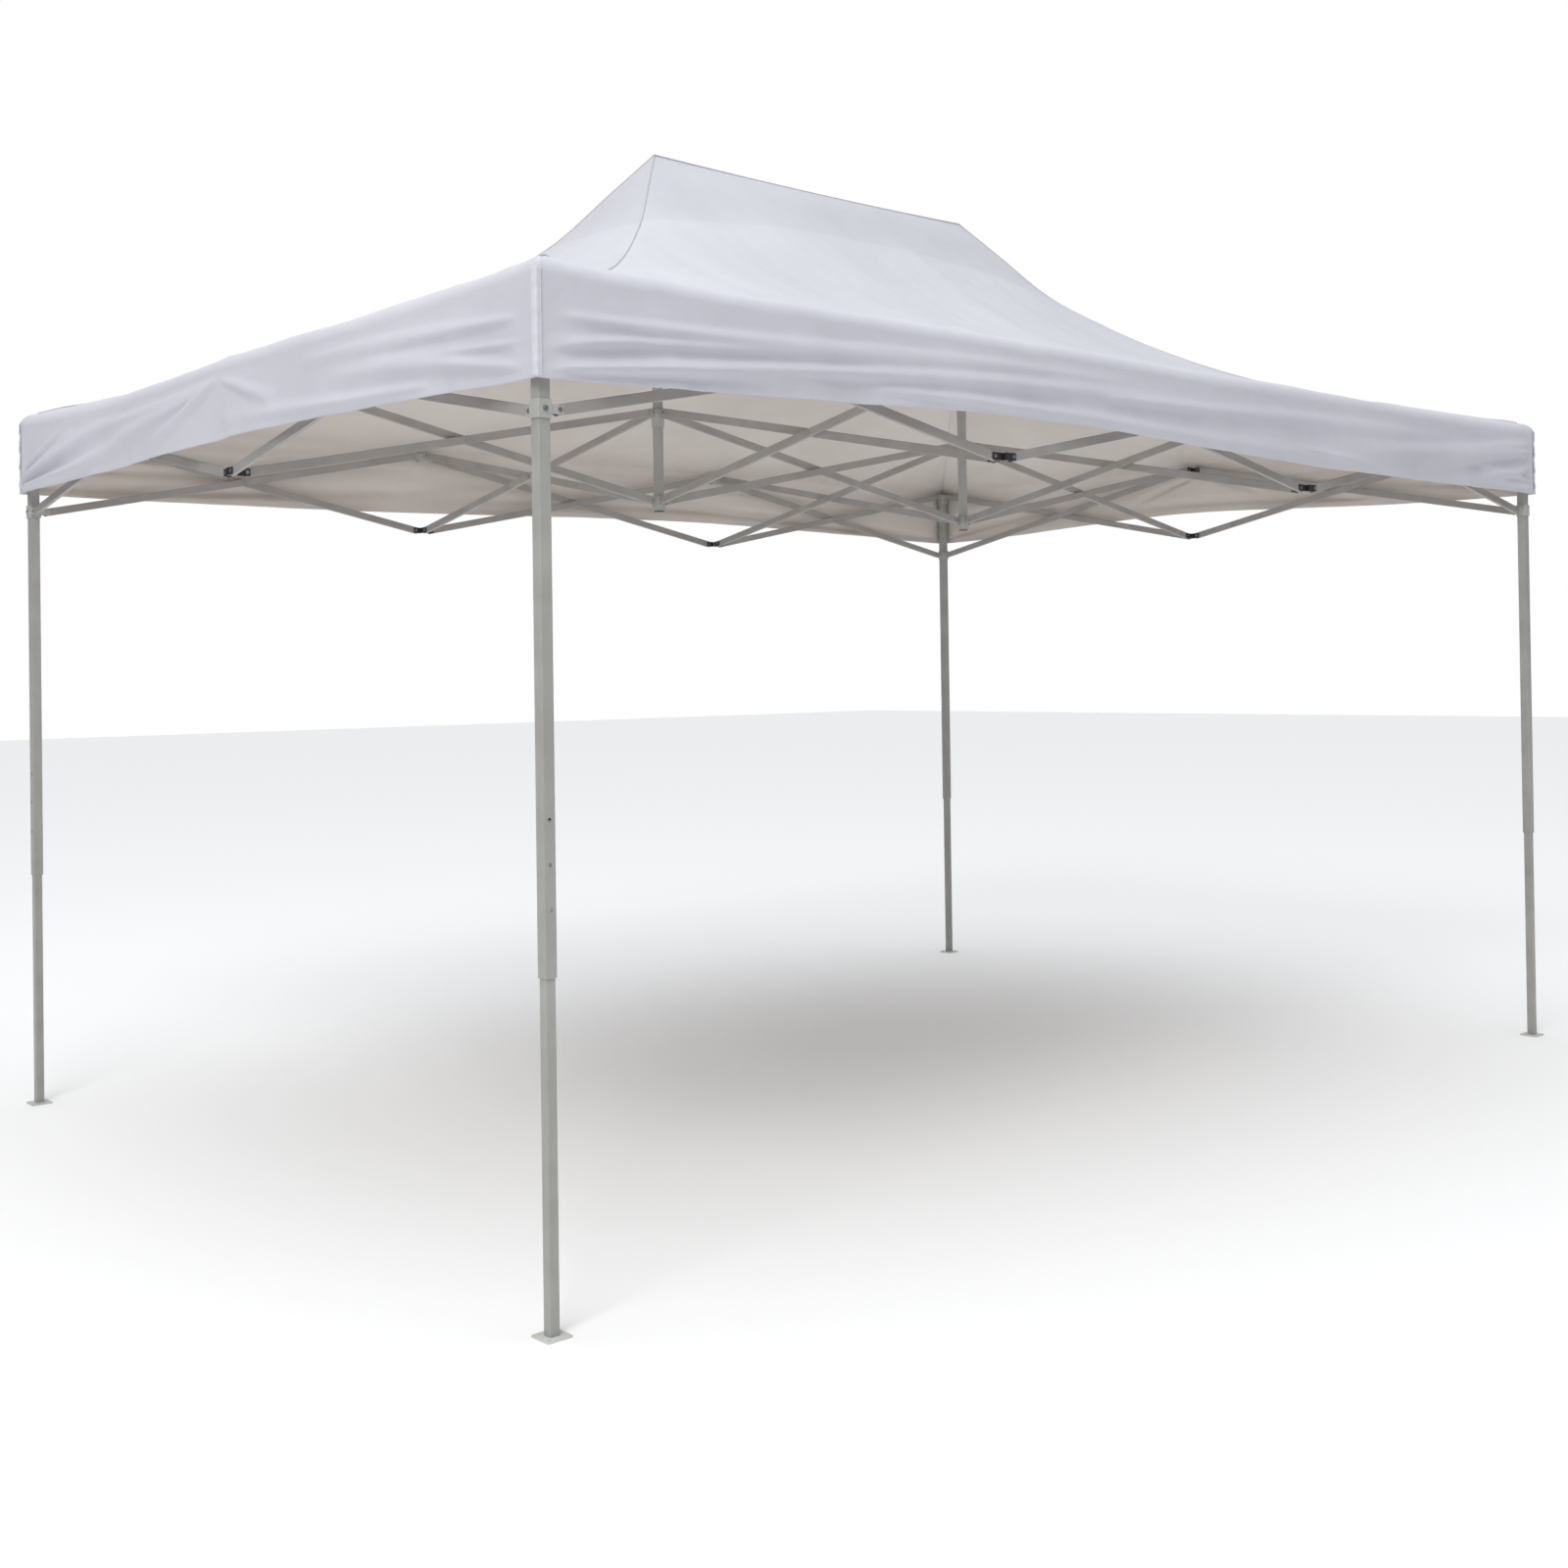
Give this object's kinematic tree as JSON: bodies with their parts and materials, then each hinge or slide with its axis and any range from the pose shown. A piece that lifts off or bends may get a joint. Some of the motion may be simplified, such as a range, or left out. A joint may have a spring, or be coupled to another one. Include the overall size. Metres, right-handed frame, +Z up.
{
  "type": "pop up canopy",
  "caption": "Folding pop up canopy with a hipped white cover, scissor trusses, two centre poles and telescopic legs.",
  "frame": {"origin": "on the ground under the middle of the canopy", "axes": "+X along the 4.5 m side, +Y along the 3 m side, +Z up"},
  "size_m": [4.5, 3.019, 3.09],
  "materials": {
    "frame": "warm light grey powder coat on steel tube",
    "moulding": "light grey moulded nylon",
    "cover": "white coated polyester"
  },
  "bodies": {
    "upper_hub_west": {"upper_hub_west": "moulding"},
    "bar_inner_front_west_a": {"bar_inner_front_west_a": "frame"},
    "bar_inner_front_west_b": {"bar_inner_front_west_b": "frame"},
    "bracket_front_west": {"bracket_front_west": "moulding"},
    "centre_pole_west": {"centre_pole_west": "frame"},
    "bar_inner_back_west_a": {"bar_inner_back_west_a": "frame"},
    "bar_inner_back_west_b": {"bar_inner_back_west_b": "frame"},
    "bracket_back_west": {"bracket_back_west": "moulding"},
    "bar_inner_left_a": {"bar_inner_left_a": "frame"},
    "bar_inner_left_b": {"bar_inner_left_b": "frame"},
    "bar_inner_middle_a": {"bar_inner_middle_a": "frame"},
    "bar_inner_middle_b": {"bar_inner_middle_b": "frame"},
    "upper_hub_east": {"upper_hub_east": "moulding"},
    "centre_pole_east": {"centre_pole_east": "frame"},
    "bar_inner_front_east_a": {"bar_inner_front_east_a": "frame"},
    "bar_inner_front_east_b": {"bar_inner_front_east_b": "frame"},
    "bracket_front_east": {"bracket_front_east": "moulding"},
    "bar_inner_back_east_a": {"bar_inner_back_east_a": "frame"},
    "bar_inner_back_east_b": {"bar_inner_back_east_b": "frame"},
    "bracket_back_east": {"bracket_back_east": "moulding"},
    "bar_inner_right_a": {"bar_inner_right_a": "frame"},
    "bar_inner_right_b": {"bar_inner_right_b": "frame"},
    "bar_front_left_a": {"bar_front_left_a": "frame"},
    "bar_front_left_b": {"bar_front_left_b": "frame"},
    "outer_leg_front_left": {"outer_leg_front_left": "frame"},
    "slider_front_left": {"slider_front_left": "moulding"},
    "bar_front_middle_a": {"bar_front_middle_a": "frame"},
    "bar_front_middle_b": {"bar_front_middle_b": "frame"},
    "bar_front_right_a": {"bar_front_right_a": "frame"},
    "bar_front_right_b": {"bar_front_right_b": "frame"},
    "outer_leg_front_right": {"outer_leg_front_right": "frame"},
    "slider_front_right": {"slider_front_right": "moulding"},
    "bar_back_left_a": {"bar_back_left_a": "frame"},
    "bar_back_left_b": {"bar_back_left_b": "frame"},
    "outer_leg_back_left": {"outer_leg_back_left": "frame"},
    "slider_back_left": {"slider_back_left": "moulding"},
    "bar_back_middle_a": {"bar_back_middle_a": "frame"},
    "bar_back_middle_b": {"bar_back_middle_b": "frame"},
    "bar_back_right_a": {"bar_back_right_a": "frame"},
    "bar_back_right_b": {"bar_back_right_b": "frame"},
    "outer_leg_back_right": {"outer_leg_back_right": "frame"},
    "slider_back_right": {"slider_back_right": "moulding"},
    "bar_left_front_a": {"bar_left_front_a": "frame"},
    "bar_left_front_b": {"bar_left_front_b": "frame"},
    "bar_left_back_a": {"bar_left_back_a": "frame"},
    "bar_left_back_b": {"bar_left_back_b": "frame"},
    "bar_right_front_a": {"bar_right_front_a": "frame"},
    "bar_right_front_b": {"bar_right_front_b": "frame"},
    "bar_right_back_a": {"bar_right_back_a": "frame"},
    "bar_right_back_b": {"bar_right_back_b": "frame"},
    "pole_top_west": {"pole_top_west": "frame"},
    "pole_top_east": {"pole_top_east": "frame"},
    "inner_leg_front_left": {"inner_leg_front_left": "frame"},
    "inner_leg_front_right": {"inner_leg_front_right": "frame"},
    "inner_leg_back_left": {"inner_leg_back_left": "frame"},
    "inner_leg_back_right": {"inner_leg_back_right": "frame"},
    "canopy_front": {"canopy_front": "cover"},
    "canopy_back": {"canopy_back": "cover"},
    "canopy_left": {"canopy_left": "cover"},
    "canopy_right": {"canopy_right": "cover"}
  },
  "joints": [
    {"name": "frame_fold", "type": "hinge", "parent": "upper_hub_west", "child": "bar_inner_front_west_a", "pos_m": [-0.7335, -0.03, 2.245], "axis": [1, 0, 0], "range_deg": [0, 73.5]},
    {"name": "bar_inner_front_west_b_cross", "type": "hinge", "parent": "bar_inner_front_west_a", "child": "bar_inner_front_west_b", "pos_m": [-0.7335, -0.7335, 2.1025], "axis": [1, 0, 0], "range_deg": [-147, 0]},
    {"name": "bracket_front_west_hinge", "type": "hinge", "parent": "bar_inner_front_west_b", "child": "bracket_front_west", "pos_m": [-0.7335, -1.437, 2.245], "axis": [1, 0, 0], "range_deg": [0, 73.5]},
    {"name": "centre_pole_west_hinge", "type": "hinge", "parent": "bar_inner_front_west_b", "child": "centre_pole_west", "pos_m": [-0.7335, -0.03, 1.96], "axis": [1, 0, 0], "range_deg": [0, 73.5]},
    {"name": "bar_inner_back_west_a_hinge", "type": "hinge", "parent": "upper_hub_west", "child": "bar_inner_back_west_a", "pos_m": [-0.7335, 0.03, 2.245], "axis": [-1, 0, 0], "range_deg": [0, 73.5]},
    {"name": "bar_inner_back_west_b_cross", "type": "hinge", "parent": "bar_inner_back_west_a", "child": "bar_inner_back_west_b", "pos_m": [-0.7335, 0.7335, 2.1025], "axis": [-1, 0, 0], "range_deg": [-147, 0]},
    {"name": "bracket_back_west_hinge", "type": "hinge", "parent": "bar_inner_back_west_b", "child": "bracket_back_west", "pos_m": [-0.7335, 1.437, 2.245], "axis": [-1, 0, 0], "range_deg": [0, 73.5]},
    {"name": "bar_inner_left_a_hinge", "type": "hinge", "parent": "upper_hub_west", "child": "bar_inner_left_a", "pos_m": [-0.7635, 0, 2.245], "axis": [0, -1, 0], "range_deg": [0, 73.5]},
    {"name": "bar_inner_left_b_cross", "type": "hinge", "parent": "bar_inner_left_a", "child": "bar_inner_left_b", "pos_m": [-1.467, 0, 2.1025], "axis": [0, -1, 0], "range_deg": [-147, 0]},
    {"name": "bar_inner_middle_a_hinge", "type": "hinge", "parent": "upper_hub_west", "child": "bar_inner_middle_a", "pos_m": [-0.7035, 0, 2.245], "axis": [0, 1, 0], "range_deg": [0, 73.5]},
    {"name": "bar_inner_middle_b_cross", "type": "hinge", "parent": "bar_inner_middle_a", "child": "bar_inner_middle_b", "pos_m": [0, 0, 2.1025], "axis": [0, 1, 0], "range_deg": [-147, 0]},
    {"name": "upper_hub_east_hinge", "type": "hinge", "parent": "bar_inner_middle_b", "child": "upper_hub_east", "pos_m": [0.7035, 0, 2.245], "axis": [0, 1, 0], "range_deg": [0, 73.5]},
    {"name": "centre_pole_east_hinge", "type": "hinge", "parent": "bar_inner_middle_a", "child": "centre_pole_east", "pos_m": [0.7035, 0, 1.96], "axis": [0, 1, 0], "range_deg": [-73.5, 0]},
    {"name": "bar_inner_front_east_a_hinge", "type": "hinge", "parent": "upper_hub_east", "child": "bar_inner_front_east_a", "pos_m": [0.7335, -0.03, 2.245], "axis": [1, 0, 0], "range_deg": [0, 73.5]},
    {"name": "bar_inner_front_east_b_cross", "type": "hinge", "parent": "bar_inner_front_east_a", "child": "bar_inner_front_east_b", "pos_m": [0.7335, -0.7335, 2.1025], "axis": [1, 0, 0], "range_deg": [-147, 0]},
    {"name": "bracket_front_east_hinge", "type": "hinge", "parent": "bar_inner_front_east_b", "child": "bracket_front_east", "pos_m": [0.7335, -1.437, 2.245], "axis": [1, 0, 0], "range_deg": [0, 73.5]},
    {"name": "bar_inner_back_east_a_hinge", "type": "hinge", "parent": "upper_hub_east", "child": "bar_inner_back_east_a", "pos_m": [0.7335, 0.03, 2.245], "axis": [-1, 0, 0], "range_deg": [0, 73.5]},
    {"name": "bar_inner_back_east_b_cross", "type": "hinge", "parent": "bar_inner_back_east_a", "child": "bar_inner_back_east_b", "pos_m": [0.7335, 0.7335, 2.1025], "axis": [-1, 0, 0], "range_deg": [-147, 0]},
    {"name": "bracket_back_east_hinge", "type": "hinge", "parent": "bar_inner_back_east_b", "child": "bracket_back_east", "pos_m": [0.7335, 1.437, 2.245], "axis": [-1, 0, 0], "range_deg": [0, 73.5]},
    {"name": "bar_inner_right_a_hinge", "type": "hinge", "parent": "upper_hub_east", "child": "bar_inner_right_a", "pos_m": [0.7635, 0, 2.245], "axis": [0, 1, 0], "range_deg": [0, 73.5]},
    {"name": "bar_inner_right_b_cross", "type": "hinge", "parent": "bar_inner_right_a", "child": "bar_inner_right_b", "pos_m": [1.467, 0, 2.1025], "axis": [0, 1, 0], "range_deg": [-147, 0]},
    {"name": "bar_front_left_a_hinge", "type": "hinge", "parent": "bracket_front_west", "child": "bar_front_left_a", "pos_m": [-0.7635, -1.477, 2.245], "axis": [0, -1, 0], "range_deg": [0, 73.5]},
    {"name": "bar_front_left_b_cross", "type": "hinge", "parent": "bar_front_left_a", "child": "bar_front_left_b", "pos_m": [-1.467, -1.477, 2.1025], "axis": [0, -1, 0], "range_deg": [-147, 0]},
    {"name": "outer_leg_front_left_hinge", "type": "hinge", "parent": "bar_front_left_b", "child": "outer_leg_front_left", "pos_m": [-2.1705, -1.477, 2.245], "axis": [0, -1, 0], "range_deg": [0, 73.5]},
    {"name": "slider_front_left_hinge", "type": "hinge", "parent": "bar_front_left_a", "child": "slider_front_left", "pos_m": [-2.1705, -1.477, 1.96], "axis": [0, -1, 0], "range_deg": [-73.5, 0]},
    {"name": "bar_front_middle_a_hinge", "type": "hinge", "parent": "bracket_front_west", "child": "bar_front_middle_a", "pos_m": [-0.7035, -1.477, 2.245], "axis": [0, 1, 0], "range_deg": [0, 73.5]},
    {"name": "bar_front_middle_b_cross", "type": "hinge", "parent": "bar_front_middle_a", "child": "bar_front_middle_b", "pos_m": [0, -1.477, 2.1025], "axis": [0, 1, 0], "range_deg": [-147, 0]},
    {"name": "bar_front_right_a_hinge", "type": "hinge", "parent": "bracket_front_east", "child": "bar_front_right_a", "pos_m": [0.7635, -1.477, 2.245], "axis": [0, 1, 0], "range_deg": [0, 73.5]},
    {"name": "bar_front_right_b_cross", "type": "hinge", "parent": "bar_front_right_a", "child": "bar_front_right_b", "pos_m": [1.467, -1.477, 2.1025], "axis": [0, 1, 0], "range_deg": [-147, 0]},
    {"name": "outer_leg_front_right_hinge", "type": "hinge", "parent": "bar_front_right_b", "child": "outer_leg_front_right", "pos_m": [2.1705, -1.477, 2.245], "axis": [0, 1, 0], "range_deg": [0, 73.5]},
    {"name": "slider_front_right_hinge", "type": "hinge", "parent": "bar_front_right_a", "child": "slider_front_right", "pos_m": [2.1705, -1.477, 1.96], "axis": [0, 1, 0], "range_deg": [-73.5, 0]},
    {"name": "bar_back_left_a_hinge", "type": "hinge", "parent": "bracket_back_west", "child": "bar_back_left_a", "pos_m": [-0.7635, 1.477, 2.245], "axis": [0, -1, 0], "range_deg": [0, 73.5]},
    {"name": "bar_back_left_b_cross", "type": "hinge", "parent": "bar_back_left_a", "child": "bar_back_left_b", "pos_m": [-1.467, 1.477, 2.1025], "axis": [0, -1, 0], "range_deg": [-147, 0]},
    {"name": "outer_leg_back_left_hinge", "type": "hinge", "parent": "bar_back_left_b", "child": "outer_leg_back_left", "pos_m": [-2.1705, 1.477, 2.245], "axis": [0, -1, 0], "range_deg": [0, 73.5]},
    {"name": "slider_back_left_hinge", "type": "hinge", "parent": "bar_back_left_a", "child": "slider_back_left", "pos_m": [-2.1705, 1.477, 1.96], "axis": [0, -1, 0], "range_deg": [-73.5, 0]},
    {"name": "bar_back_middle_a_hinge", "type": "hinge", "parent": "bracket_back_west", "child": "bar_back_middle_a", "pos_m": [-0.7035, 1.477, 2.245], "axis": [0, 1, 0], "range_deg": [0, 73.5]},
    {"name": "bar_back_middle_b_cross", "type": "hinge", "parent": "bar_back_middle_a", "child": "bar_back_middle_b", "pos_m": [0, 1.477, 2.1025], "axis": [0, 1, 0], "range_deg": [-147, 0]},
    {"name": "bar_back_right_a_hinge", "type": "hinge", "parent": "bracket_back_east", "child": "bar_back_right_a", "pos_m": [0.7635, 1.477, 2.245], "axis": [0, 1, 0], "range_deg": [0, 73.5]},
    {"name": "bar_back_right_b_cross", "type": "hinge", "parent": "bar_back_right_a", "child": "bar_back_right_b", "pos_m": [1.467, 1.477, 2.1025], "axis": [0, 1, 0], "range_deg": [-147, 0]},
    {"name": "outer_leg_back_right_hinge", "type": "hinge", "parent": "bar_back_right_b", "child": "outer_leg_back_right", "pos_m": [2.1705, 1.477, 2.245], "axis": [0, 1, 0], "range_deg": [0, 73.5]},
    {"name": "slider_back_right_hinge", "type": "hinge", "parent": "bar_back_right_a", "child": "slider_back_right", "pos_m": [2.1705, 1.477, 1.96], "axis": [0, 1, 0], "range_deg": [-73.5, 0]},
    {"name": "bar_left_front_a_hinge", "type": "hinge", "parent": "outer_leg_front_left", "child": "bar_left_front_a", "pos_m": [-2.2105, -1.437, 2.245], "axis": [-1, 0, 0], "range_deg": [0, 73.5]},
    {"name": "bar_left_front_b_cross", "type": "hinge", "parent": "bar_left_front_a", "child": "bar_left_front_b", "pos_m": [-2.2105, -0.7335, 2.1025], "axis": [-1, 0, 0], "range_deg": [-147, 0]},
    {"name": "bar_left_back_a_hinge", "type": "hinge", "parent": "outer_leg_back_left", "child": "bar_left_back_a", "pos_m": [-2.2105, 1.437, 2.245], "axis": [1, 0, 0], "range_deg": [0, 73.5]},
    {"name": "bar_left_back_b_cross", "type": "hinge", "parent": "bar_left_back_a", "child": "bar_left_back_b", "pos_m": [-2.2105, 0.7335, 2.1025], "axis": [1, 0, 0], "range_deg": [-147, 0]},
    {"name": "bar_right_front_a_hinge", "type": "hinge", "parent": "outer_leg_front_right", "child": "bar_right_front_a", "pos_m": [2.2105, -1.437, 2.245], "axis": [-1, 0, 0], "range_deg": [0, 73.5]},
    {"name": "bar_right_front_b_cross", "type": "hinge", "parent": "bar_right_front_a", "child": "bar_right_front_b", "pos_m": [2.2105, -0.7335, 2.1025], "axis": [-1, 0, 0], "range_deg": [-147, 0]},
    {"name": "bar_right_back_a_hinge", "type": "hinge", "parent": "outer_leg_back_right", "child": "bar_right_back_a", "pos_m": [2.2105, 1.437, 2.245], "axis": [1, 0, 0], "range_deg": [0, 73.5]},
    {"name": "bar_right_back_b_cross", "type": "hinge", "parent": "bar_right_back_a", "child": "bar_right_back_b", "pos_m": [2.2105, 0.7335, 2.1025], "axis": [1, 0, 0], "range_deg": [-147, 0]},
    {"name": "pole_top_west_slide", "type": "slide", "parent": "centre_pole_west", "child": "pole_top_west", "axis": [0, 0, 1], "range_m": [0, 0.33]},
    {"name": "pole_top_east_slide", "type": "slide", "parent": "centre_pole_east", "child": "pole_top_east", "axis": [0, 0, 1], "range_m": [0, 0.33]},
    {"name": "leg_front_left_height", "type": "slide", "parent": "outer_leg_front_left", "child": "inner_leg_front_left", "axis": [0, 0, 1], "range_m": [0, 0.7]},
    {"name": "leg_front_right_height", "type": "slide", "parent": "outer_leg_front_right", "child": "inner_leg_front_right", "axis": [0, 0, 1], "range_m": [0, 0.7]},
    {"name": "leg_back_left_height", "type": "slide", "parent": "outer_leg_back_left", "child": "inner_leg_back_left", "axis": [0, 0, 1], "range_m": [0, 0.7]},
    {"name": "leg_back_right_height", "type": "slide", "parent": "outer_leg_back_right", "child": "inner_leg_back_right", "axis": [0, 0, 1], "range_m": [0, 0.7]},
    {"name": "canopy_front_drop", "type": "hinge", "parent": "bracket_front_west", "child": "canopy_front", "pos_m": [0, -1.515, 2.264], "axis": [-1, 0, 0], "range_deg": [0, 120], "deforming": ["canopy_front"]},
    {"name": "canopy_back_drop", "type": "hinge", "parent": "bracket_back_west", "child": "canopy_back", "pos_m": [0, 1.515, 2.264], "axis": [1, 0, 0], "range_deg": [0, 120], "deforming": ["canopy_back"]},
    {"name": "canopy_left_drop", "type": "hinge", "parent": "outer_leg_front_left", "child": "canopy_left", "pos_m": [-2.26, 0, 2.264], "axis": [0, 1, 0], "range_deg": [0, 120], "deforming": ["canopy_left"]},
    {"name": "canopy_right_drop", "type": "hinge", "parent": "outer_leg_front_right", "child": "canopy_right", "pos_m": [2.26, 0, 2.264], "axis": [0, -1, 0], "range_deg": [0, 120], "deforming": ["canopy_right"]}
  ],
  "couplings": [
    {"joint": "bar_inner_front_west_b_cross", "follows": "frame_fold", "ratio": -2},
    {"joint": "bracket_front_west_hinge", "follows": "frame_fold", "ratio": 1},
    {"joint": "centre_pole_west_hinge", "follows": "frame_fold", "ratio": 1},
    {"joint": "bar_inner_back_west_a_hinge", "follows": "frame_fold", "ratio": 1},
    {"joint": "bar_inner_back_west_b_cross", "follows": "frame_fold", "ratio": -2},
    {"joint": "bracket_back_west_hinge", "follows": "frame_fold", "ratio": 1},
    {"joint": "bar_inner_left_a_hinge", "follows": "frame_fold", "ratio": 1},
    {"joint": "bar_inner_left_b_cross", "follows": "frame_fold", "ratio": -2},
    {"joint": "bar_inner_middle_a_hinge", "follows": "frame_fold", "ratio": 1},
    {"joint": "bar_inner_middle_b_cross", "follows": "frame_fold", "ratio": -2},
    {"joint": "upper_hub_east_hinge", "follows": "frame_fold", "ratio": 1},
    {"joint": "centre_pole_east_hinge", "follows": "frame_fold", "ratio": -1},
    {"joint": "bar_inner_front_east_a_hinge", "follows": "frame_fold", "ratio": 1},
    {"joint": "bar_inner_front_east_b_cross", "follows": "frame_fold", "ratio": -2},
    {"joint": "bracket_front_east_hinge", "follows": "frame_fold", "ratio": 1},
    {"joint": "bar_inner_back_east_a_hinge", "follows": "frame_fold", "ratio": 1},
    {"joint": "bar_inner_back_east_b_cross", "follows": "frame_fold", "ratio": -2},
    {"joint": "bracket_back_east_hinge", "follows": "frame_fold", "ratio": 1},
    {"joint": "bar_inner_right_a_hinge", "follows": "frame_fold", "ratio": 1},
    {"joint": "bar_inner_right_b_cross", "follows": "frame_fold", "ratio": -2},
    {"joint": "bar_front_left_a_hinge", "follows": "frame_fold", "ratio": 1},
    {"joint": "bar_front_left_b_cross", "follows": "frame_fold", "ratio": -2},
    {"joint": "outer_leg_front_left_hinge", "follows": "frame_fold", "ratio": 1},
    {"joint": "slider_front_left_hinge", "follows": "frame_fold", "ratio": -1},
    {"joint": "bar_front_middle_a_hinge", "follows": "frame_fold", "ratio": 1},
    {"joint": "bar_front_middle_b_cross", "follows": "frame_fold", "ratio": -2},
    {"joint": "bar_front_right_a_hinge", "follows": "frame_fold", "ratio": 1},
    {"joint": "bar_front_right_b_cross", "follows": "frame_fold", "ratio": -2},
    {"joint": "outer_leg_front_right_hinge", "follows": "frame_fold", "ratio": 1},
    {"joint": "slider_front_right_hinge", "follows": "frame_fold", "ratio": -1},
    {"joint": "bar_back_left_a_hinge", "follows": "frame_fold", "ratio": 1},
    {"joint": "bar_back_left_b_cross", "follows": "frame_fold", "ratio": -2},
    {"joint": "outer_leg_back_left_hinge", "follows": "frame_fold", "ratio": 1},
    {"joint": "slider_back_left_hinge", "follows": "frame_fold", "ratio": -1},
    {"joint": "bar_back_middle_a_hinge", "follows": "frame_fold", "ratio": 1},
    {"joint": "bar_back_middle_b_cross", "follows": "frame_fold", "ratio": -2},
    {"joint": "bar_back_right_a_hinge", "follows": "frame_fold", "ratio": 1},
    {"joint": "bar_back_right_b_cross", "follows": "frame_fold", "ratio": -2},
    {"joint": "outer_leg_back_right_hinge", "follows": "frame_fold", "ratio": 1},
    {"joint": "slider_back_right_hinge", "follows": "frame_fold", "ratio": -1},
    {"joint": "bar_left_front_a_hinge", "follows": "frame_fold", "ratio": 1},
    {"joint": "bar_left_front_b_cross", "follows": "frame_fold", "ratio": -2},
    {"joint": "bar_left_back_a_hinge", "follows": "frame_fold", "ratio": 1},
    {"joint": "bar_left_back_b_cross", "follows": "frame_fold", "ratio": -2},
    {"joint": "bar_right_front_a_hinge", "follows": "frame_fold", "ratio": 1},
    {"joint": "bar_right_front_b_cross", "follows": "frame_fold", "ratio": -2},
    {"joint": "bar_right_back_a_hinge", "follows": "frame_fold", "ratio": 1},
    {"joint": "bar_right_back_b_cross", "follows": "frame_fold", "ratio": -2},
    {"joint": "pole_top_west_slide", "follows": "frame_fold", "m_per_rad": 0.25725},
    {"joint": "pole_top_east_slide", "follows": "frame_fold", "m_per_rad": 0.25725},
    {"joint": "canopy_front_drop", "follows": "frame_fold", "ratio": 1.6327},
    {"joint": "canopy_back_drop", "follows": "frame_fold", "ratio": 1.6327},
    {"joint": "canopy_left_drop", "follows": "frame_fold", "ratio": 1.6327},
    {"joint": "canopy_right_drop", "follows": "frame_fold", "ratio": 1.6327}
  ]
}
